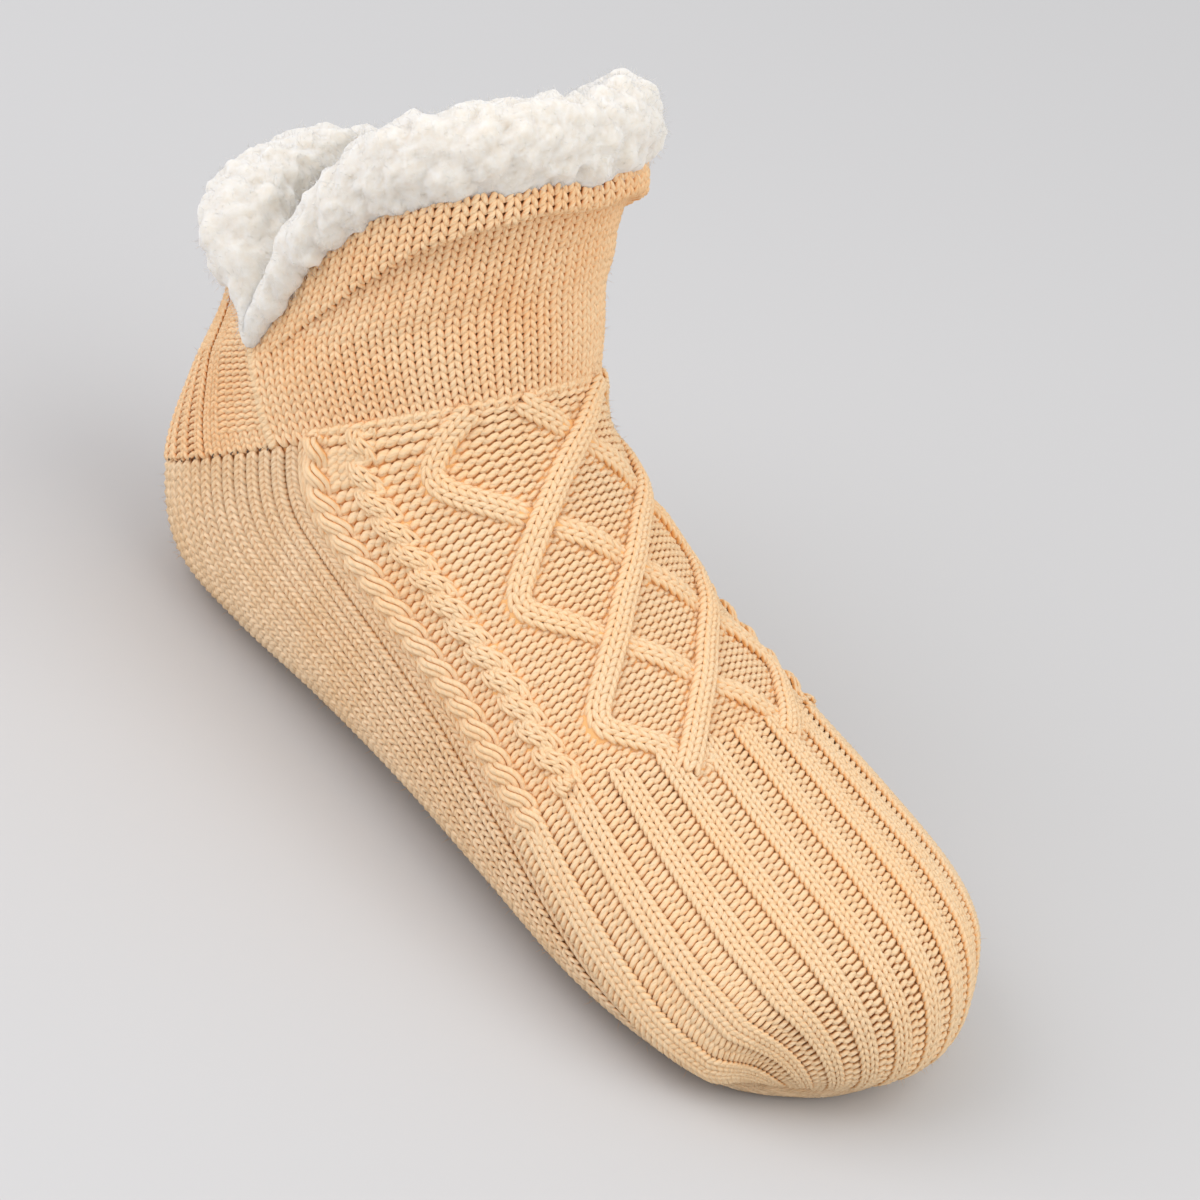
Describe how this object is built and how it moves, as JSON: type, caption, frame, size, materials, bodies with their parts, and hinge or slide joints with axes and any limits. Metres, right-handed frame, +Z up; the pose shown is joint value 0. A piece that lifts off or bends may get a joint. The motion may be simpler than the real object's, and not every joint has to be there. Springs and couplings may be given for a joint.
{
  "type": "knit slipper sock",
  "caption": "Ankle-high knitted slipper sock with a cable trellis over the instep, a ribbed toe, slit collar and a pile fleece roll; stands empty on its plain knitted sole.",
  "frame": {"origin": "centre of the bounding box on the floor under the sole", "axes": "+X along the foot towards the toe, +Z up out of the collar"},
  "size_m": [0.2378, 0.0994, 0.1547],
  "materials": {
    "cable_knit": "soft plied yarn, apricot, cable and rib knit",
    "plain_knit": "soft plied yarn, apricot, plain knit",
    "collar_fleece": "curly off-white pile fleece",
    "insole_fleece": "off-white pile fleece"
  },
  "bodies": {
    "root": {"knit_upper": "cable_knit", "knit_sole": "plain_knit", "fleece_collar": "collar_fleece", "fleece_insole": "insole_fleece"}
  },
  "joints": []
}
